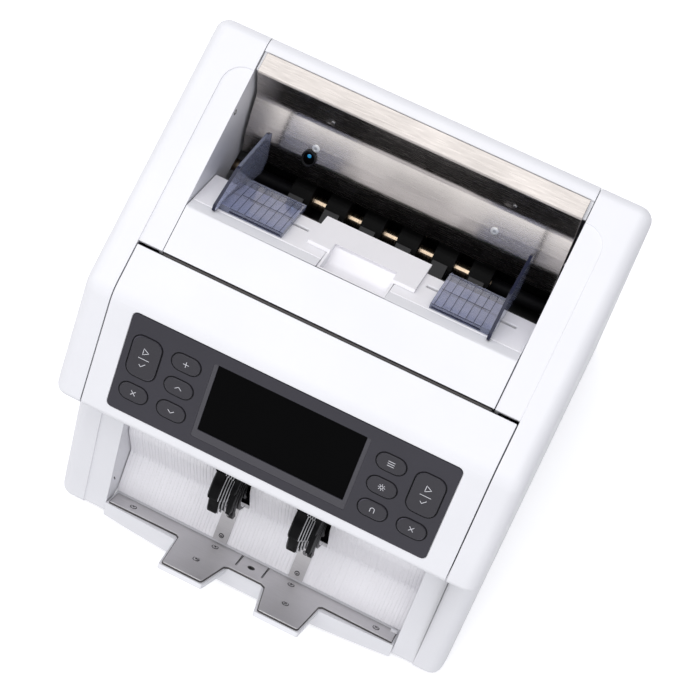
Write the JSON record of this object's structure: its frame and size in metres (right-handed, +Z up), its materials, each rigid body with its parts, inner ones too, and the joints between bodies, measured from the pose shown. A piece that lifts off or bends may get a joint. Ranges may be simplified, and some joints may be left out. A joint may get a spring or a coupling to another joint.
{
  "type": "banknote counting machine",
  "caption": "Desktop banknote counter with a rear hopper, sliding note guides, friction rollers, sloping key panel with display, and an open stacker bay with impeller wheels.",
  "frame": {"origin": "middle of the machine's outline at table level, under the feet", "axes": "+X to the operator's right, +Y away from the operator to the rear, +Z up"},
  "size_m": [0.2848, 0.2886, 0.2416],
  "materials": {
    "charcoal_plastic": "fine matt charcoal",
    "zinc_sheet": "dull zinc plated sheet",
    "green_board": "green circuit board",
    "white_shell": "fine textured white",
    "brushed_steel": "fine brushed stainless",
    "black_plastic": "satin black moulding",
    "display_glass": "glossy black window",
    "black_rubber": "matt black rubber",
    "brass_shaft": "bright turned brass",
    "pale_plastic": "fine satin pale grey",
    "smoked_clear": "clear smoked acrylic"
  },
  "bodies": {
    "case": {"bottom_cover": "charcoal_plastic", "chassis_floor": "zinc_sheet", "control_board": "green_board", "control_fascia": "charcoal_plastic", "control_panel_housing": "white_shell", "cover_hinge_pin": "brushed_steel", "display_module": "black_plastic", "display_window": "display_glass", "drive_motor": "black_plastic", "feed_belt": "black_rubber", "feed_comb": "black_plastic", "foot_front_left": "black_rubber", "foot_front_right": "black_rubber", "foot_rear_left": "black_rubber", "foot_rear_right": "black_rubber", "hopper_back_plate": "brushed_steel", "hopper_sensor": "display_glass", "left_frame": "zinc_sheet", "left_guide_strip": "brushed_steel", "left_side_cover": "white_shell", "main_board": "green_board", "power_inlet": "black_plastic", "power_supply": "zinc_sheet", "rear_cover": "white_shell", "right_frame": "zinc_sheet", "right_guide_strip": "brushed_steel", "right_side_cover": "white_shell", "stacker_back_plate": "pale_plastic", "stacker_belt": "black_rubber", "stacker_steel_plate": "brushed_steel", "stacker_tray": "white_shell"},
    "cover": {"upper_front_cover": "white_shell", "hopper_floor": "pale_plastic", "hopper_centre_plate": "pale_plastic"},
    "left_guide": {"left_note_guide": "smoked_clear"},
    "right_guide": {"right_note_guide": "smoked_clear"},
    "feed": {"feed_shaft": "brass_shaft", "feed_roller_1": "black_rubber", "feed_roller_2": "black_rubber", "feed_roller_3": "black_rubber", "feed_roller_4": "black_rubber", "feed_roller_5": "black_rubber", "feed_roller_6": "black_rubber", "feed_pulley": "black_plastic"},
    "stacker": {"stacker_shaft": "zinc_sheet", "left_impeller": "black_plastic", "right_impeller": "black_plastic", "stacker_pulley": "black_plastic"},
    "motor": {"motor_pulley": "zinc_sheet"},
    "switch": {"power_switch": "black_plastic"},
    "key_add": {"key_add": "charcoal_plastic"},
    "key_batch": {"key_batch": "charcoal_plastic"},
    "key_clear_left": {"key_clear_left": "charcoal_plastic"},
    "key_clear_right": {"key_clear_right": "charcoal_plastic"},
    "key_down": {"key_down": "charcoal_plastic"},
    "key_mg": {"key_mg": "charcoal_plastic"},
    "key_start_left": {"key_start_left": "charcoal_plastic"},
    "key_start_right": {"key_start_right": "charcoal_plastic"},
    "key_up": {"key_up": "charcoal_plastic"},
    "key_uv": {"key_uv": "charcoal_plastic"}
  },
  "joints": [
    {"name": "cover_hinge", "type": "hinge", "parent": "case", "child": "cover", "pos_m": [0, -0.00265, 0.2146], "axis": [1, 0, 0], "range_deg": [0, 65]},
    {"name": "left_guide_slide", "type": "slide", "parent": "cover", "child": "left_guide", "axis": [1, 0, 0], "range_m": [-0.012, 0.012]},
    {"name": "right_guide_slide", "type": "slide", "parent": "cover", "child": "right_guide", "axis": [1, 0, 0], "range_m": [-0.011, 0.016]},
    {"name": "feed_spin", "type": "hinge", "parent": "case", "child": "feed", "pos_m": [0, 0.0891, 0.157], "axis": [1, 0, 0], "continuous": true},
    {"name": "stacker_spin", "type": "hinge", "parent": "case", "child": "stacker", "pos_m": [0, -0.0559, 0.072], "axis": [1, 0, 0], "continuous": true},
    {"name": "motor_spin", "type": "hinge", "parent": "case", "child": "motor", "pos_m": [0, 0.0421, 0.05], "axis": [1, 0, 0], "continuous": true},
    {"name": "key_add_press", "type": "slide", "parent": "case", "child": "key_add", "axis": [0, 0.7408, -0.6717], "range_m": [0, 0.0008], "stiffness_N_per_m": 600, "springref_m": -0.0005},
    {"name": "key_batch_press", "type": "slide", "parent": "case", "child": "key_batch", "axis": [0, 0.7408, -0.6717], "range_m": [0, 0.0008], "stiffness_N_per_m": 600, "springref_m": -0.0005},
    {"name": "key_clear_left_press", "type": "slide", "parent": "case", "child": "key_clear_left", "axis": [0, 0.7408, -0.6717], "range_m": [0, 0.0008], "stiffness_N_per_m": 600, "springref_m": -0.0005},
    {"name": "key_clear_right_press", "type": "slide", "parent": "case", "child": "key_clear_right", "axis": [0, 0.7408, -0.6717], "range_m": [0, 0.0008], "stiffness_N_per_m": 600, "springref_m": -0.0005},
    {"name": "key_down_press", "type": "slide", "parent": "case", "child": "key_down", "axis": [0, 0.7408, -0.6717], "range_m": [0, 0.0008], "stiffness_N_per_m": 600, "springref_m": -0.0005},
    {"name": "key_mg_press", "type": "slide", "parent": "case", "child": "key_mg", "axis": [0, 0.7408, -0.6717], "range_m": [0, 0.0008], "stiffness_N_per_m": 600, "springref_m": -0.0005},
    {"name": "key_start_left_press", "type": "slide", "parent": "case", "child": "key_start_left", "axis": [0, 0.7408, -0.6717], "range_m": [0, 0.0008], "stiffness_N_per_m": 600, "springref_m": -0.0005},
    {"name": "key_start_right_press", "type": "slide", "parent": "case", "child": "key_start_right", "axis": [0, 0.7408, -0.6717], "range_m": [0, 0.0008], "stiffness_N_per_m": 600, "springref_m": -0.0005},
    {"name": "key_up_press", "type": "slide", "parent": "case", "child": "key_up", "axis": [0, 0.7408, -0.6717], "range_m": [0, 0.0008], "stiffness_N_per_m": 600, "springref_m": -0.0005},
    {"name": "key_uv_press", "type": "slide", "parent": "case", "child": "key_uv", "axis": [0, 0.7408, -0.6717], "range_m": [0, 0.0008], "stiffness_N_per_m": 600, "springref_m": -0.0005},
    {"name": "switch_rock", "type": "hinge", "parent": "case", "child": "switch", "pos_m": [0.039, 0.1331, 0.0395], "axis": [1, 0, 0], "range_deg": [-7, 7]}
  ],
  "couplings": [
    {"joint": "stacker_spin", "follows": "feed_spin", "ratio": 0.77778},
    {"joint": "motor_spin", "follows": "feed_spin", "ratio": 1.5556}
  ]
}
